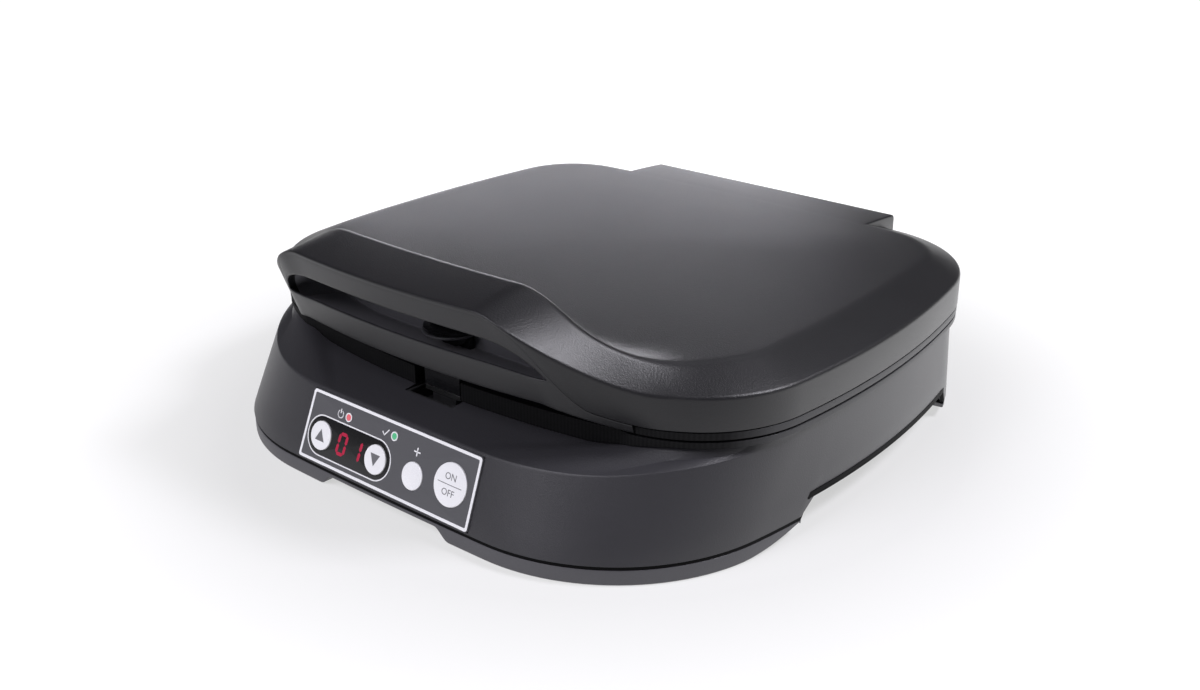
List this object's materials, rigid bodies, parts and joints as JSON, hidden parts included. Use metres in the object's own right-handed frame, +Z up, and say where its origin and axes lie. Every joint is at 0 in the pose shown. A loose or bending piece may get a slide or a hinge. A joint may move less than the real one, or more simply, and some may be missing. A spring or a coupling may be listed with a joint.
{
  "type": "contact grill",
  "caption": "Clamshell contact grill with a raised front handle and finger slot, rear hinge, sprung latch lever, ribbed plates and a front panel with digits and push buttons.",
  "frame": {"origin": "centre of the footprint, on the table under the rubber feet", "axes": "+Z up, -Y to the front with the control panel and handle, +X to the right seen from the front"},
  "size_m": [0.3346, 0.3276, 0.1201],
  "materials": {
    "charcoal_shell": "satin, fine grain",
    "cover_plastic": "fine grain",
    "frame_plastic": "satin",
    "foot_rubber": "matt",
    "steel": "plain",
    "nonstick": "dark non-stick coating",
    "reflector": "bright",
    "ceramic": "glazed ceramic, packed as plastic",
    "bronze": "sintered bronze",
    "magnet": "plain",
    "panel": "satin grey",
    "window": "tinted",
    "digits": "red segments",
    "lens_red": "clear",
    "lens_green": "clear",
    "button": "silver-white",
    "board": "solder resist",
    "component": "moulded",
    "wire": "silicone insulation",
    "latch_plastic": "satin black"
  },
  "bodies": {
    "base": {"base_shell": "charcoal_shell", "bottom_cover": "cover_plastic", "rubber_feet": "foot_rubber", "cover_screws": "steel", "lower_frame": "frame_plastic", "lower_plate": "nonstick", "lower_element": "steel", "lower_reflector": "reflector", "plate_insulators": "ceramic", "hinge_block": "frame_plastic", "hinge_bushes": "bronze", "latch_magnet": "magnet", "magnet_housing": "frame_plastic", "control_fascia": "panel", "display_window": "window", "digit_display": "digits", "power_lens": "lens_red", "ready_lens": "lens_green", "control_board": "board", "tact_switches": "component", "power_board": "board", "relay": "component", "transformer": "component", "terminal_block": "component", "thermostat": "steel", "thermal_fuse": "ceramic", "sensor_leads": "wire", "supply_leads": "wire", "cord_gland": "frame_plastic"},
    "lid": {"lid_shell": "charcoal_shell", "handle_front": "charcoal_shell", "lid_liner": "frame_plastic", "upper_frame": "frame_plastic", "upper_plate": "nonstick", "upper_element": "steel", "upper_reflector": "reflector", "upper_fuse": "ceramic", "hinge_arms": "steel", "hinge_pins": "steel", "arm_screws": "steel", "liner_screws": "steel", "latch_pin": "steel", "latch_spring": "steel"},
    "latch": {"latch_lever": "latch_plastic", "latch_armature": "steel"},
    "start_button": {"start_button": "button"},
    "up_button": {"up_button": "button"},
    "down_button": {"down_button": "button"},
    "more_button": {"more_button": "button"}
  },
  "joints": [
    {"name": "lid_hinge", "type": "hinge", "parent": "base", "child": "lid", "pos_m": [0, 0.14825, 0.07185], "axis": [-1, 0, 0], "range_deg": [0, 95]},
    {"name": "latch_pivot", "type": "hinge", "parent": "lid", "child": "latch", "pos_m": [0, -0.11255, 0.08775], "axis": [-1, 0, 0], "range_deg": [0, 10], "stiffness_Nm_per_rad": 0.25},
    {"name": "start_button_press", "type": "slide", "parent": "base", "child": "start_button", "axis": [0, 0.9356, -0.3531], "range_m": [0, 0.0009], "stiffness_N_per_m": 500},
    {"name": "up_button_press", "type": "slide", "parent": "base", "child": "up_button", "axis": [0, 0.9356, -0.3531], "range_m": [0, 0.0009], "stiffness_N_per_m": 500},
    {"name": "down_button_press", "type": "slide", "parent": "base", "child": "down_button", "axis": [0, 0.9356, -0.3531], "range_m": [0, 0.0009], "stiffness_N_per_m": 500},
    {"name": "more_button_press", "type": "slide", "parent": "base", "child": "more_button", "axis": [0, 0.9356, -0.3531], "range_m": [0, 0.0009], "stiffness_N_per_m": 500}
  ]
}
